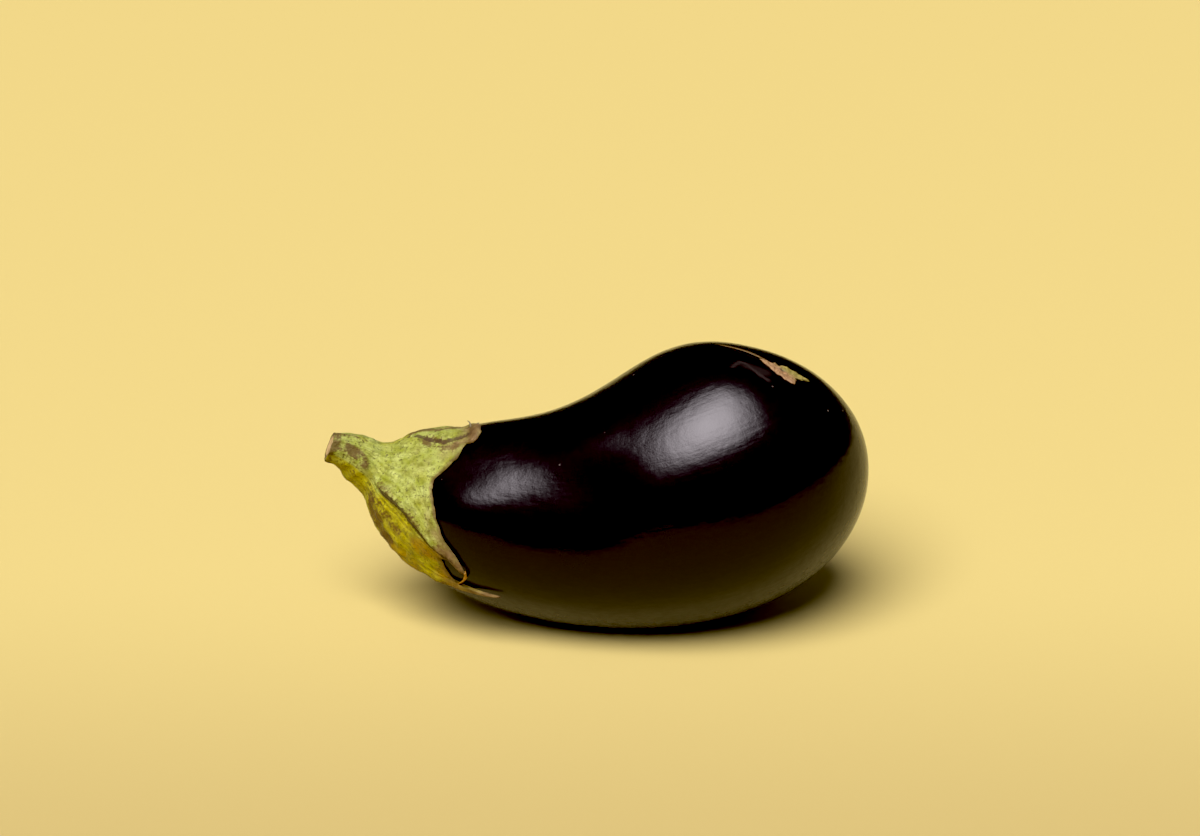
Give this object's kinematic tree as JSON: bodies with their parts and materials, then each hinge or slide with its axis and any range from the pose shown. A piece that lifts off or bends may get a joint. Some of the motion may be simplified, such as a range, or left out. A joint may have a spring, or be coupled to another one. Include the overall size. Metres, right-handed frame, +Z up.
{
  "type": "eggplant",
  "caption": "Whole eggplant lying on its side: glossy dark fruit with a bent neck and a round bulb, and a cut green stalk with its calyx.",
  "frame": {"origin": "middle of the whole object's box, on the surface that the fruit rests on", "axes": "+X from the cut stalk to the blossom end, +Y away from the side that the picture shows, +Z up"},
  "size_m": [0.19, 0.0964, 0.0986],
  "materials": {
    "skin": "smooth glossy skin, near-black purple",
    "calyx": "matte green sepals and ribbed stalk, drying brown at the tips and the cut"
  },
  "bodies": {
    "root": {"fruit": "skin", "stalk_calyx": "calyx"}
  },
  "joints": []
}
